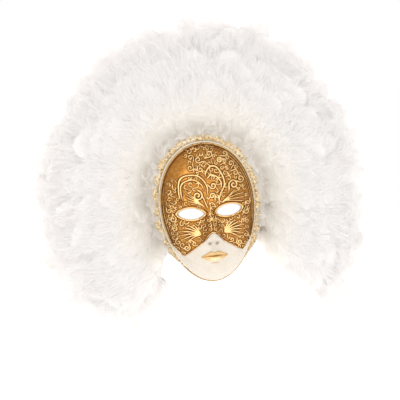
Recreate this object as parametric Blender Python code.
"""Full-face masquerade mask in a horseshoe crown of feathers.

Metres, +Z up. The face looks along -Y. The origin is on the plane of symmetry at eye level, where the
front of the crown's board meets the skirt of the mask. The strap runs back along +Y round the head.
"""

import math

import bmesh
import bpy
from mathutils import Matrix, Vector

MM = 0.001

# mask shell
MASK_HALF_WIDTH = 81 * MM
MASK_HALF_HEIGHT = 119 * MM
MASK_EGG = 0.12
MASK_DOME = 56 * MM
DOME_FULLNESS = 2.6
DOME_POWER = 0.55
SHELL_WALL = 2.0 * MM
SKIRT_FRONT = -14 * MM
SKIRT_BACK = 12 * MM
FACE_RINGS = 14
FACE_SEGMENTS = 48

# eye holes
EYE_SPACING = 64 * MM
EYE_LENGTH = 42 * MM
EYE_HEIGHT = 18 * MM
EYE_TILT = math.radians(5)

# gilt skin
GILT_GAP = 0.3 * MM
GILT_THICKNESS = 1.0 * MM
GILT_INSET = 0.05
GILT_NOSE_Z = -34 * MM
GILT_LOBE_X = 48 * MM
GILT_LOBE_Z = -70 * MM
GILT_EYE_MARGIN = 1.5 * MM

# trims
BRAID_WIDTH = 15 * MM
BRAID_THICKNESS = 1.5 * MM
BRAID_FRONT = -14.6 * MM
BRAID_END = math.radians(-48)
CORD_RADIUS = 1.5 * MM
CORD_Y = -11 * MM
CORD_END = math.radians(-51)

# pads
PAD_GAP = 0.6 * MM
FOREHEAD_PAD_THICKNESS = 6 * MM
CHEEK_PAD_THICKNESS = 5 * MM

# crown: every length runs outwards from the mask's edge along a ray from the crown's centre
CROWN_CENTRE_Z = 45 * MM
CROWN_RADIUS = 278 * MM
CROWN_HIP = 20 * MM
CROWN_HIP_ANGLE = math.radians(124)
BOARD_REACH = 76 * MM
BOARD_THICKNESS = 4 * MM
BOARD_CLEARANCE = 0.5 * MM
BOARD_END = math.radians(134)
FELT_REACH = 72 * MM
FELT_THICKNESS = 1.5 * MM
FELT_END = math.radians(132)
TAPE_WIDTH = 12 * MM
TAPE_THICKNESS = 1.0 * MM
RUFF_TAPE_AT = 6 * MM
MIDDLE_TAPE_AT = 28 * MM
OUTER_TAPE_AT = 52 * MM
RUFF_END = math.radians(138)
MIDDLE_END = math.radians(140)
OUTER_END = math.radians(142)
WIRE_RADIUS = 1.0 * MM
RIB_COUNT = 7
RIB_SPREAD = math.radians(122)
RIB_START = 12 * MM
RIB_REACH = 150 * MM
INNER_HOOP_AT = 58 * MM
OUTER_HOOP_AT = 138 * MM

# strap and its hardware
RIVET_Y = -7 * MM
RIVET_Z = 10 * MM
RIVET_RADIUS = 1.9 * MM
RIVET_HEAD_RADIUS = 4.2 * MM
RIVET_HEAD = 1.2 * MM
RIVET_HOLE_CLEARANCE = 0.3 * MM
SPACER_THICKNESS = 2.2 * MM
SPACER_RADIUS = 4.5 * MM
TAB_THICKNESS = 1.5 * MM
TAB_NOSE = 7 * MM
STRAP_WIDTH = 18 * MM
STRAP_THICKNESS = 1.2 * MM
STRAP_STRAIGHT = 57 * MM
RIGHT_SEAM_Y = 6 * MM
RIGHT_TAB_BACK = 24 * MM
LOOP_WIRE = 0.8 * MM
LOOP_FRONT_Y = 10 * MM
LOOP_BACK_Y = 18 * MM
TAIL_END_Y = 56 * MM
SLIDER_Y = 34 * MM
SLIDER_LENGTH = 16 * MM
SLIDER_WALL = 1.4 * MM
SLIDER_FRAME = 2.2 * MM

# clearances
TOUCH = 0.3 * MM
SEAM = 1.0 * MM


# ---------------------------------------------------------------- scene and materials


def clear_scene():
    for obj in list(bpy.data.objects):
        bpy.data.objects.remove(obj)


def srgb(code):
    values = [int(code[i : i + 2], 16) / 255 for i in (0, 2, 4)]
    return [v / 12.92 if v <= 0.04045 else ((v + 0.055) / 1.055) ** 2.4 for v in values]


def make_material(name, code, roughness, metallic=0.0):
    material = bpy.data.materials.new(name)
    material.use_nodes = True
    shader = material.node_tree.nodes["Principled BSDF"]
    shader.inputs["Base Color"].default_value = (*srgb(code), 1)
    shader.inputs["Roughness"].default_value = roughness
    shader.inputs["Metallic"].default_value = metallic
    material.diffuse_color = (*srgb(code), 1)
    return material


def finish_object(name, bm, material, smooth=True):
    bmesh.ops.recalc_face_normals(bm, faces=bm.faces)
    mesh = bpy.data.meshes.new(name)
    bm.to_mesh(mesh)
    bm.free()
    if smooth:
        mesh.shade_smooth()
        mesh.set_sharp_from_angle(angle=math.radians(40))
    mesh.materials.append(material)
    obj = bpy.data.objects.new(name, mesh)
    bpy.context.scene.collection.objects.link(obj)
    return obj


def loft(name, rings, material, closed=False):
    """A solid through rings of equally many points, with flat ends unless the rings close on themselves."""
    bm = bmesh.new()
    rows = [[bm.verts.new(p) for p in ring] for ring in rings]
    count = len(rows[0])
    pairs = list(zip(rows, rows[1:]))
    if closed:
        pairs.append((rows[-1], rows[0]))
    for a, b in pairs:
        for k in range(count):
            n = (k + 1) % count
            bm.faces.new((a[k], a[n], b[n], b[k]))
    if not closed:
        bm.faces.new(rows[0])
        bm.faces.new(rows[-1])
    return finish_object(name, bm, material)


def tube_rings(path, radius, sides, closed=False):
    """Circles of radius round each point of a path, turned so that they don't twist."""
    points = [Vector(p) for p in path]
    rings = []
    side = None
    for i, point in enumerate(points):
        if closed:
            along = (points[(i + 1) % len(points)] - points[i - 1]).normalized()
        else:
            along = (points[min(i + 1, len(points) - 1)] - points[max(i - 1, 0)]).normalized()
        if side is None:
            side = along.orthogonal().normalized()
        side = (side - along * side.dot(along)).normalized()
        other = along.cross(side)
        turns = [2 * math.pi * k / sides for k in range(sides)]
        rings.append([point + radius * (math.cos(t) * side + math.sin(t) * other) for t in turns])
    return rings


def lathe_x(name, profile, centre, material, sides=20):
    """Turns a closed profile of (x, radius) points about a line along X through centre."""
    rings = []
    for k in range(sides):
        t = 2 * math.pi * k / sides
        rings.append(
            [(x, centre[0] + r * math.cos(t), centre[1] + r * math.sin(t)) for x, r in profile]
        )
    return loft(name, rings, material, closed=True)


def cut(obj, cutter, operation="DIFFERENCE"):
    cutter.hide_render = True
    cutter.display_type = "WIRE"
    modifier = obj.modifiers.new("cut", "BOOLEAN")
    modifier.object = cutter
    modifier.operation = operation
    modifier.solver = "EXACT"


# ---------------------------------------------------------------- the face


def outline(angle, grow=0.0):
    """A point (x, z) on the mask's egg-shaped edge, moved outwards by grow."""
    c, s = math.cos(angle), math.sin(angle)
    x = MASK_HALF_WIDTH * c * (1 + MASK_EGG * s)
    z = MASK_HALF_HEIGHT * s
    dx = MASK_HALF_WIDTH * (-s * (1 + MASK_EGG * s) + MASK_EGG * c * c)
    dz = MASK_HALF_HEIGHT * c
    length = math.hypot(dx, dz)
    return x + grow * dz / length, z - grow * dx / length


def half_width(z):
    s = z / MASK_HALF_HEIGHT
    return MASK_HALF_WIDTH * math.sqrt(1 - s * s) * (1 + MASK_EGG * s)


def bump(x, z, at, spread):
    """A smooth round bump of height 1 at a point, mirrored to both sides of the face."""
    dx, dz = (abs(x) - at[0]) / spread[0], (z - at[1]) / spread[1]
    return math.exp(-(dx * dx + dz * dz))


def nose(x, z):
    """The ridge from the brow to the tip, with the base cut back under it."""
    bridge, tip, base = 20 * MM, -43 * MM, -53 * MM
    if z > tip:
        t = min(max((bridge - z) / (bridge - tip), 0), 1)
        height = 22 * MM * t * t * (3 - 2 * t) * (0.75 + 0.25 * t) + 3 * MM * t
    else:
        t = min(max((z - base) / (tip - base), 0), 1)
        height = 25 * MM * t * t * (3 - 2 * t)
    t = min(max((bridge - z) / (bridge - tip), 0), 1)
    width = (8 + 5.5 * t) * MM
    return height * math.exp(-((abs(x) / width) ** 2.2))


FEATURES = [
    # height, place, spread
    (3.5, (33, 20), (24, 8)),
    (-9.0, (30, 0), (17, 12)),
    (4.0, (50, -26), (22, 18)),
    (6.5, (12, -46), (6, 6)),
    (5.0, (0, -74), (28, 18)),
    (2.6, (6, -69.5), (10, 3.6)),
    (3.6, (0, -79.5), (12, 4.2)),
    (-2.6, (0, -74.2), (20, 1.8)),
    (-2.5, (0, -88), (16, 4)),
    (8.0, (0, -103), (19, 12)),
]


def features(x, z):
    relief = nose(x, z)
    for height, at, spread in FEATURES:
        place = (at[0] * MM, at[1] * MM)
        relief += height * MM * bump(x, z, place, (spread[0] * MM, spread[1] * MM))
    return relief


def face_point(angle, share, lift=0.0):
    """A point of the face: share 0 is the middle and 1 the edge, lift moves it out along the normal."""
    ex, ez = outline(angle)
    x, z = ex * share, ez * share
    point = Vector((x, face_y(share, x, z), z))
    return point + lift * face_normal(angle, share) if lift else point


def face_y(share, x, z):
    dome = MASK_DOME * max(1 - share**DOME_FULLNESS, 0) ** DOME_POWER
    return SKIRT_FRONT - dome - features(x, z) * (1 - share**6)


def face_normal(angle, share):
    step = 0.004
    if share > 1 - 2 * step:
        ex, ez = outline(angle)
        nx, nz = outline(angle, 1.0)
        return Vector((nx - ex, 0, nz - ez)).normalized()
    share = max(share, step)
    around = face_point(angle + step, share) - face_point(angle - step, share)
    outwards = face_point(angle, share + step) - face_point(angle, share - step)
    return outwards.cross(around).normalized()


def share_of(x, z):
    """How far from the middle to the edge a point (x, z) of the face is, and its angle."""
    sx, sz = x / MASK_HALF_WIDTH, z / MASK_HALF_HEIGHT
    share = max(math.hypot(sx, sz), 1e-6)
    for _ in range(12):
        sine = sz / share
        share = max(math.hypot(sx / (1 + MASK_EGG * sine), sz), 1e-6)
    return math.atan2(sz, sx / (1 + MASK_EGG * sz / share)), share


def face_at(x, z, lift):
    angle, share = share_of(x, z)
    return face_point(angle, share, lift)


def face_surface(skirt):
    """The open outer surface of the face, in triangles, with a straight skirt behind it if asked for."""
    bm = bmesh.new()
    centre = bm.verts.new(face_point(0.5 * math.pi, 1e-4))
    rings = [math.sin(0.5 * math.pi * (i + 1) / FACE_RINGS) for i in range(FACE_RINGS)]
    turns = [2 * math.pi * k / FACE_SEGMENTS for k in range(FACE_SEGMENTS)]
    if not skirt:
        rings = rings[:-1]
    rows = [[bm.verts.new(face_point(angle, share)) for angle in turns] for share in rings]
    if skirt:
        for y in (0.5 * (SKIRT_FRONT + SKIRT_BACK), SKIRT_BACK):
            edge = [outline(angle) for angle in turns]
            rows.append([bm.verts.new((x, y, z)) for x, z in edge])
    for k in range(FACE_SEGMENTS):
        n = (k + 1) % FACE_SEGMENTS
        bm.faces.new((centre, rows[0][k], rows[0][n]))
        for a, b in zip(rows, rows[1:]):
            bm.faces.new((a[k], b[k], b[n]))
            bm.faces.new((a[k], b[n], a[n]))
    bm.normal_update()
    return bm, rows[-1]


def face_skin(name, outer_lift, inner_lift, skirt, material):
    """A closed shell between two offsets of the face, with a straight skirt behind it if asked for."""
    base, edge = face_surface(skirt)
    base.verts.index_update()
    bm = bmesh.new()
    skins = []
    for lift in (outer_lift, inner_lift):
        skins.append([bm.verts.new(v.co + lift * v.normal) for v in base.verts])
    outer, inner = skins
    for face in base.faces:
        a, b, c = (v.index for v in face.verts)
        bm.faces.new((outer[a], outer[b], outer[c]))
        bm.faces.new((inner[c], inner[b], inner[a]))
    border = [v.index for v in edge]
    for a, b in zip(border, border[1:] + border[:1]):
        bm.faces.new((outer[a], inner[a], inner[b], outer[b]))
    base.free()
    return finish_object(name, bm, material)


def prism_y(name, points, front, back, material):
    """A solid between two Y planes over a flat outline of (x, z) points."""
    return loft(name, [[(x, y, z) for x, z in points] for y in (front, back)], material)


def eye_points(side, grow, steps=11):
    """An almond with pointed corners, its outer corner a little higher."""
    half, tall = 0.5 * EYE_LENGTH + 1.6 * grow, 0.5 * EYE_HEIGHT + grow
    points = []
    for k in range(2 * steps):
        t = math.pi * k / steps
        u, v = math.cos(t), math.sin(t)
        v = math.copysign(abs(v) ** 1.4, v)
        x, z = half * u, tall * v
        turned_x = x * math.cos(EYE_TILT) - z * math.sin(EYE_TILT)
        turned_z = x * math.sin(EYE_TILT) + z * math.cos(EYE_TILT)
        points.append((side * (0.5 * EYE_SPACING + turned_x), turned_z))
    return points


def cut_eyes(obj, grow, material):
    for side, word in ((-1, "left"), (1, "right")):
        front = SKIRT_FRONT - 2 * MASK_DOME
        cutter = prism_y(f"{obj.name}_{word}_cutter", eye_points(side, grow), front, 0, material)
        cut(obj, cutter)


def gilt_points():
    """The edge of the gilt: just inside the mask's edge, down to a lobe on each cheek, up over the nose."""
    points = []
    top = math.radians(-24)
    steps = 30
    for k in range(steps + 1):
        x, z = outline(top + (math.pi - 2 * top) * k / steps)
        points.append((x * (1 - GILT_INSET), z * (1 - GILT_INSET)))
    half = [
        (0.0, GILT_NOSE_Z),
        (0.17, GILT_NOSE_Z - 0.05 * MASK_HALF_HEIGHT),
        (0.40, 0.5 * (GILT_NOSE_Z + GILT_LOBE_Z)),
        (0.70, 0.25 * GILT_NOSE_Z + 0.75 * GILT_LOBE_Z),
        (1.0, GILT_LOBE_Z),
        (1.17, 0.2 * GILT_NOSE_Z + 0.8 * GILT_LOBE_Z),
    ]
    lower = [(-u * GILT_LOBE_X, z) for u, z in reversed(half)]
    lower += [(u * GILT_LOBE_X, z) for u, z in half[1:]]
    return points + lower


def face_patch(name, centre, size, outer_lift, inner_lift, material, columns=8, rows=4):
    """A pad that follows the inside of the shell over a rounded patch of the face."""
    rings = []
    for i in range(columns + 1):
        u = 2 * i / columns - 1
        tall = size[1] * math.sqrt(max(1 - 0.75 * abs(u) ** 3, 0))
        column = [centre[1] + tall * (j / rows - 0.5) for j in range(rows + 1)]
        x = centre[0] + 0.5 * size[0] * u
        ring = [face_at(x, z, outer_lift) for z in column]
        ring += [face_at(x, z, inner_lift) for z in reversed(column)]
        rings.append(ring)
    return loft(name, rings, material)


# ---------------------------------------------------------------- the crown


def mask_reach(angle):
    """Distance from the crown's centre to the mask's edge; angle 0 is up, and it grows to +X."""
    low, high = 0.0, 3 * MASK_HALF_HEIGHT
    for _ in range(40):
        r = 0.5 * (low + high)
        x, z = r * math.sin(angle), CROWN_CENTRE_Z + r * math.cos(angle)
        inside = abs(z) < MASK_HALF_HEIGHT and abs(x) < half_width(z)
        low, high = (r, high) if inside else (low, r)
    return low


def crown_reach(angle):
    """Distance from the crown's centre to the plumes' tips, a little longer at the hips."""
    hip = math.exp(-(((abs(angle) - CROWN_HIP_ANGLE) / math.radians(26)) ** 2))
    return CROWN_RADIUS + CROWN_HIP * hip


def crown_point(angle, reach, y):
    r = mask_reach(angle) + reach
    return Vector((r * math.sin(angle), y, CROWN_CENTRE_Z + r * math.cos(angle)))


def horseshoe(name, end, section, steps, material):
    """Sweeps a section, a function of the angle giving (reach, y) points, from one end to the other."""
    rings = []
    for k in range(steps + 1):
        angle = end * (2 * k / steps - 1)
        rings.append([crown_point(angle, reach, y) for reach, y in section(angle)])
    return loft(name, rings, material)


def slab(start, stop, front, back):
    return lambda angle: [(start, front), (stop, front), (stop, back), (start, back)]


TAPE_FRONT = -TOUCH - TAPE_THICKNESS
ROW_BACK = TAPE_FRONT - TOUCH


def ruff_section(angle):
    """The fluffy row: it starts beside the skirt, under the braid, and bulges over the middle row."""
    tape_end = RUFF_TAPE_AT + TAPE_WIDTH
    braid_back = BRAID_FRONT + BRAID_THICKNESS + TOUCH
    return [
        (4 * MM, ROW_BACK),
        (4 * MM, braid_back + SEAM),
        (BRAID_WIDTH + 2 * MM, braid_back + TOUCH),
        (34 * MM, -44 * MM),
        (56 * MM, -52 * MM),
        (70 * MM, -44 * MM),
        (52 * MM, -31 * MM),
        (tape_end + 5.5 * MM, -9.4 * MM),
        (tape_end + 3 * MM, ROW_BACK),
    ]


def middle_section(angle):
    """The middle row: it leans on the outer row and ends over the middle of it."""
    tape_end = MIDDLE_TAPE_AT + TAPE_WIDTH
    return [
        (MIDDLE_TAPE_AT - 3 * MM, ROW_BACK),
        (MIDDLE_TAPE_AT - 3 * MM, -7 * MM),
        (62 * MM, -34 * MM),
        (110 * MM, -42 * MM),
        (152 * MM, -31 * MM),
        (150 * MM, -25 * MM),
        (110 * MM, -26 * MM),
        (tape_end + 6 * MM, -7.6 * MM),
        (tape_end + 4 * MM, ROW_BACK),
    ]


def outer_section(angle):
    """The long row: rooted on the board, thick over the ribs and thin at its rounded tips."""
    tip = crown_reach(angle) - mask_reach(angle)
    behind = BOARD_THICKNESS - TOUCH
    return [
        (OUTER_TAPE_AT - 4 * MM, ROW_BACK),
        (OUTER_TAPE_AT - 4 * MM, -6 * MM),
        (110 * MM, -24 * MM),
        (tip - 24 * MM, -17 * MM),
        (tip, -5 * MM),
        (tip - 6 * MM, behind),
        (BOARD_REACH + SEAM, behind),
        (BOARD_REACH + 0.6 * SEAM, ROW_BACK),
    ]


RIB_Y = BOARD_THICKNESS + TOUCH + WIRE_RADIUS
HOOP_Y = RIB_Y + 2 * WIRE_RADIUS + TOUCH
FELT_FRONT = HOOP_Y + WIRE_RADIUS + TOUCH


def hoop_wire(name, reach, end, steps, material):
    path = [crown_point(end * (2 * k / steps - 1), reach, HOOP_Y) for k in range(steps + 1)]
    return loft(name, tube_rings(path, WIRE_RADIUS, 6), material)


def build_crown(look):
    board_front = 0.0
    horseshoe(
        "crown_board",
        BOARD_END,
        slab(BOARD_CLEARANCE, BOARD_REACH, board_front, BOARD_THICKNESS),
        44,
        look["board"],
    )
    horseshoe(
        "back_felt",
        FELT_END,
        slab(3 * BOARD_CLEARANCE, FELT_REACH, FELT_FRONT, FELT_FRONT + FELT_THICKNESS),
        44,
        look["felt"],
    )
    tapes = (("ruff_tape", RUFF_TAPE_AT), ("middle_tape", MIDDLE_TAPE_AT), ("outer_tape", OUTER_TAPE_AT))
    for name, start in tapes:
        horseshoe(name, FELT_END, slab(start, start + TAPE_WIDTH, TAPE_FRONT, -TOUCH), 36, look["tape"])
    horseshoe("marabou_ruff", RUFF_END, ruff_section, 36, look["marabou"])
    horseshoe("middle_plumes", MIDDLE_END, middle_section, 36, look["plume"])
    horseshoe("outer_plumes", OUTER_END, outer_section, 40, look["plume"])
    for k in range(RIB_COUNT):
        angle = RIB_SPREAD * (2 * k / (RIB_COUNT - 1) - 1)
        path = [crown_point(angle, reach, RIB_Y) for reach in (RIB_START, RIB_REACH)]
        loft(f"rib_wire_{k + 1}", tube_rings(path, WIRE_RADIUS, 8), look["wire"])
    hoop_wire("inner_hoop_wire", INNER_HOOP_AT, math.radians(128), 36, look["wire"])
    hoop_wire("outer_hoop_wire", OUTER_HOOP_AT, math.radians(130), 44, look["wire"])


# ---------------------------------------------------------------- the mask and its trims


def build_mask(look):
    shell = face_skin("mask_shell", 0.0, -SHELL_WALL, True, look["shell"])
    cut_eyes(shell, 0.0, look["shell"])
    hole = RIVET_RADIUS + RIVET_HOLE_CLEARANCE
    for side, word in ((-1, "left"), (1, "right")):
        reach = 0.5 * MASK_HALF_WIDTH
        path = [(side * MASK_HALF_WIDTH + x, RIVET_Y, RIVET_Z) for x in (-0.5 * reach, 0.5 * reach)]
        cut(shell, loft(f"rivet_{word}_cutter", tube_rings(path, hole, 16), look["shell"]))

    gilt = face_skin("gilt_relief", GILT_GAP + GILT_THICKNESS, GILT_GAP, False, look["gilt"])
    front = SKIRT_FRONT - 2 * MASK_DOME
    cut(gilt, prism_y("gilt_cutter", gilt_points(), front, 0, look["gilt"]), "INTERSECT")
    cut_eyes(gilt, GILT_EYE_MARGIN, look["gilt"])


def build_trims(look):
    steps = 44
    rings = []
    for k in range(steps + 1):
        angle = BRAID_END + (math.pi - 2 * BRAID_END) * k / steps
        inner, outer = outline(angle, TOUCH + 0.2 * MM), outline(angle, BRAID_WIDTH)
        back = BRAID_FRONT + BRAID_THICKNESS
        rings.append(
            [(x, y, z) for (x, z), y in ((inner, BRAID_FRONT), (outer, BRAID_FRONT), (outer, back), (inner, back))]
        )
    loft("lace_braid", rings, look["braid"])

    steps = 24
    path = []
    for k in range(steps + 1):
        angle = CORD_END - (math.pi + 2 * CORD_END) * k / steps
        x, z = outline(angle, CORD_RADIUS + TOUCH + 0.1 * MM)
        path.append((x, CORD_Y, z))
    loft("chin_cord", tube_rings(path, CORD_RADIUS, 8), look["cord"])


def build_pads(look):
    lift = -SHELL_WALL - PAD_GAP
    forehead_z = 0.62 * MASK_HALF_HEIGHT
    size = (1.1 * MASK_HALF_WIDTH, 0.18 * MASK_HALF_HEIGHT)
    face_patch(
        "forehead_pad", (0, forehead_z), size, lift, lift - FOREHEAD_PAD_THICKNESS, look["foam"], columns=10
    )
    size = (0.24 * MASK_HALF_WIDTH, 0.26 * MASK_HALF_HEIGHT)
    for side, word in ((-1, "left"), (1, "right")):
        place = (side * 0.66 * MASK_HALF_WIDTH, -0.26 * MASK_HALF_HEIGHT)
        face_patch(
            f"cheek_pad_{word}", place, size, lift, lift - CHEEK_PAD_THICKNESS, look["foam"], columns=6
        )


# ---------------------------------------------------------------- strap and hardware

WALL_OUTSIDE = half_width(RIVET_Z)
WALL_FALL = WALL_OUTSIDE - min(half_width(RIVET_Z + side * 2 * SPACER_RADIUS) for side in (-1, 1))
WALL_INSIDE = WALL_OUTSIDE - SHELL_WALL - max(WALL_FALL, 0)
TAB_OUTSIDE = WALL_INSIDE - 2 * TOUCH - SPACER_THICKNESS
TAB_INSIDE = TAB_OUTSIDE - TAB_THICKNESS
BAND_X = TAB_INSIDE - TOUCH - 0.5 * STRAP_THICKNESS
FOLD_RADIUS = LOOP_WIRE + 0.2 * MM + 0.5 * STRAP_THICKNESS
LOOP_X = BAND_X - FOLD_RADIUS
TAIL_X = LOOP_X - FOLD_RADIUS


def arc(centre, radius, start, stop, steps):
    """Points (x, y) round a centre, angles in degrees from +X towards +Y."""
    angles = [math.radians(start + (stop - start) * k / steps) for k in range(steps + 1)]
    return [(centre[0] + radius * math.cos(t), centre[1] + radius * math.sin(t)) for t in angles]


def ribbon(name, path, thickness, width, material):
    """An upright strip of a given thickness along a path of (x, y) points, centred on the rivets' height."""
    rings = []
    for i, (x, y) in enumerate(path):
        before = Vector(path[i]) - Vector(path[max(i - 1, 0)])
        after = Vector(path[min(i + 1, len(path) - 1)]) - Vector(path[i])
        before = before.normalized() if before.length else after.normalized()
        after = after.normalized() if after.length else before
        along = (before + after).normalized()
        stretch = 1 / max(along.dot(after), 0.5)
        across = Vector((along.y, -along.x)) * (0.5 * thickness * stretch)
        low, high = RIVET_Z - 0.5 * width, RIVET_Z + 0.5 * width
        rings.append(
            [
                (x + across.x, y + across.y, low),
                (x + across.x, y + across.y, high),
                (x - across.x, y - across.y, high),
                (x - across.x, y - across.y, low),
            ]
        )
    return loft(name, rings, material)


def bore_tab(tab, side, material):
    """Bores the tab's rivet hole."""
    hole = RIVET_RADIUS + RIVET_HOLE_CLEARANCE
    x = side * 0.5 * (TAB_OUTSIDE + TAB_INSIDE)
    span = 2 * TAB_THICKNESS
    path = [(x - span, RIVET_Y, RIVET_Z), (x + span, RIVET_Y, RIVET_Z)]
    cut(tab, loft(f"{tab.name}_cutter", tube_rings(path, hole, 16), material))


def build_tabs(look):
    # the left tab curls round the loop's front bar
    curl = LOOP_WIRE + 0.25 * MM + 0.5 * TAB_THICKNESS
    plate_x = 0.5 * (TAB_OUTSIDE + TAB_INSIDE)
    path = [(-plate_x, RIVET_Y - TAB_NOSE), (-plate_x, LOOP_FRONT_Y - 8 * MM)]
    path += arc((-LOOP_X, LOOP_FRONT_Y), curl, 200, -60, 12)
    left = ribbon("strap_tab_left", path, TAB_THICKNESS, STRAP_WIDTH - 2 * TOUCH, look["leather"])
    bore_tab(left, -1, look["leather"])
    # the right tab is plain and the elastic is sewn to its inside
    path = [(plate_x, RIVET_Y - TAB_NOSE), (plate_x, RIGHT_TAB_BACK)]
    right = ribbon("strap_tab_right", path, TAB_THICKNESS, STRAP_WIDTH - 2 * TOUCH, look["leather"])
    bore_tab(right, 1, look["leather"])


def build_rivets(look):
    tail_start = TAB_INSIDE - TOUCH
    tail_end = tail_start - 1.1 * MM
    head_start = WALL_OUTSIDE + TOUCH
    profile = [
        (tail_end, 0.5 * MM),
        (tail_end, 3.2 * MM),
        (tail_start, 3.2 * MM),
        (tail_start, RIVET_RADIUS),
        (head_start, RIVET_RADIUS),
        (head_start, RIVET_HEAD_RADIUS),
        (head_start + 0.6 * RIVET_HEAD, RIVET_HEAD_RADIUS),
        (head_start + RIVET_HEAD, 0.6 * RIVET_HEAD_RADIUS),
        (head_start + RIVET_HEAD, 0.5 * MM),
    ]
    spacer_out = WALL_INSIDE - TOUCH
    spacer_in = spacer_out - SPACER_THICKNESS
    hole = RIVET_RADIUS + RIVET_HOLE_CLEARANCE
    washer = [(spacer_in, hole), (spacer_in, SPACER_RADIUS), (spacer_out, SPACER_RADIUS), (spacer_out, hole)]
    for side, word in ((-1, "left"), (1, "right")):
        axis = (RIVET_Y, RIVET_Z)
        lathe_x(f"rivet_{word}", [(side * x, r) for x, r in profile], axis, look["brass"])
        lathe_x(f"spacer_{word}", [(side * x, r) for x, r in washer], axis, look["nylon"])


def build_strap(look):
    turn = 10
    path = [(BAND_X, RIGHT_SEAM_Y)]
    path += arc((0, STRAP_STRAIGHT), BAND_X, 0, 180, 24)
    path += [(-BAND_X, 0.5 * (STRAP_STRAIGHT + LOOP_BACK_Y))]
    path += arc((-LOOP_X, LOOP_BACK_Y), FOLD_RADIUS, 180, 360, turn)
    path += [(-TAIL_X, TAIL_END_Y)]
    ribbon("strap_band", path, STRAP_THICKNESS, STRAP_WIDTH, look["elastic"])

    # the wire loop: long sides upright, joined by its front and back bars
    half = 0.5 * STRAP_WIDTH + 0.6 * MM + LOOP_WIRE
    corner = 1.5 * MM
    path = []
    corners = [
        (LOOP_BACK_Y - corner, RIVET_Z + half - corner, 90, 0),
        (LOOP_BACK_Y - corner, RIVET_Z - half + corner, 0, -90),
        (LOOP_FRONT_Y + corner, RIVET_Z - half + corner, -90, -180),
        (LOOP_FRONT_Y + corner, RIVET_Z + half - corner, 180, 90),
    ]
    for y, z, start, stop in corners:
        path += [(-LOOP_X, py, pz) for py, pz in arc((y, z), corner, start, stop, 3)]
    loft("strap_loop", tube_rings(path, LOOP_WIRE, 8, closed=True), look["steel"], closed=True)

    # the slider: a plate with one slot for each layer of the elastic
    slot_out = BAND_X + 0.5 * STRAP_THICKNESS + TOUCH
    slot_in = TAIL_X - 0.5 * STRAP_THICKNESS - TOUCH
    bar_out = BAND_X - 0.5 * STRAP_THICKNESS - TOUCH
    bar_in = TAIL_X + 0.5 * STRAP_THICKNESS + TOUCH
    tall = 0.5 * STRAP_WIDTH + 0.4 * MM
    block = block_between(
        "strap_slider",
        (-slot_out - SLIDER_WALL, SLIDER_Y - 0.5 * SLIDER_LENGTH, RIVET_Z - tall - SLIDER_FRAME),
        (-slot_in + SLIDER_WALL, SLIDER_Y + 0.5 * SLIDER_LENGTH, RIVET_Z + tall + SLIDER_FRAME),
        look["nylon"],
    )
    for word, x0, x1 in (("outer", -slot_out, -bar_out), ("inner", -bar_in, -slot_in)):
        low = (x0, SLIDER_Y - SLIDER_LENGTH, RIVET_Z - tall)
        high = (x1, SLIDER_Y + SLIDER_LENGTH, RIVET_Z + tall)
        cut(block, block_between(f"slider_{word}_cutter", low, high, look["nylon"]))


def block_between(name, low, high, material):
    rings = []
    for z in (low[2], high[2]):
        rings.append([(low[0], low[1], z), (high[0], low[1], z), (high[0], high[1], z), (low[0], high[1], z)])
    return loft(name, rings, material)


def set_origin(name, place):
    """Puts an object's origin on its joint's axis and leaves its shape where it is."""
    obj = bpy.data.objects[name]
    obj.data.transform(Matrix.Translation(-Vector(place)))
    obj.location = place


def main():
    clear_scene()
    look = {
        "shell": make_material("white_lacquer", "F6EFE0", 0.28),
        "gilt": make_material("antique_gilt", "C59455", 0.35, 0.9),
        "braid": make_material("gold_lace", "CFA968", 0.45, 0.7),
        "cord": make_material("gold_cord", "A87838", 0.5, 0.6),
        "foam": make_material("foam", "E9E4DA", 0.9),
        "board": make_material("board", "EDE8DF", 0.85),
        "felt": make_material("felt", "F0ECE6", 0.95),
        "tape": make_material("cotton_tape", "EFEBE4", 0.9),
        "marabou": make_material("marabou", "EFEBE5", 0.9),
        "plume": make_material("plume", "F8F3F1", 0.85),
        "wire": make_material("white_wire", "C9C9C9", 0.4, 0.8),
        "brass": make_material("brass", "B8893F", 0.35, 1.0),
        "nylon": make_material("nylon", "F2F0EC", 0.45),
        "leather": make_material("leather", "EFE8DC", 0.6),
        "elastic": make_material("elastic", "F4F2EE", 0.8),
        "steel": make_material("steel", "B9B9B9", 0.3, 1.0),
    }
    build_mask(look)
    build_trims(look)
    build_pads(look)
    build_crown(look)
    build_tabs(look)
    build_rivets(look)
    build_strap(look)
    for name in ("strap_tab_left", "strap_tab_right", "strap_loop", "strap_band"):
        set_origin(name, (0, RIVET_Y, RIVET_Z))
    set_origin("strap_slider", (-BAND_X, SLIDER_Y, RIVET_Z))


main()
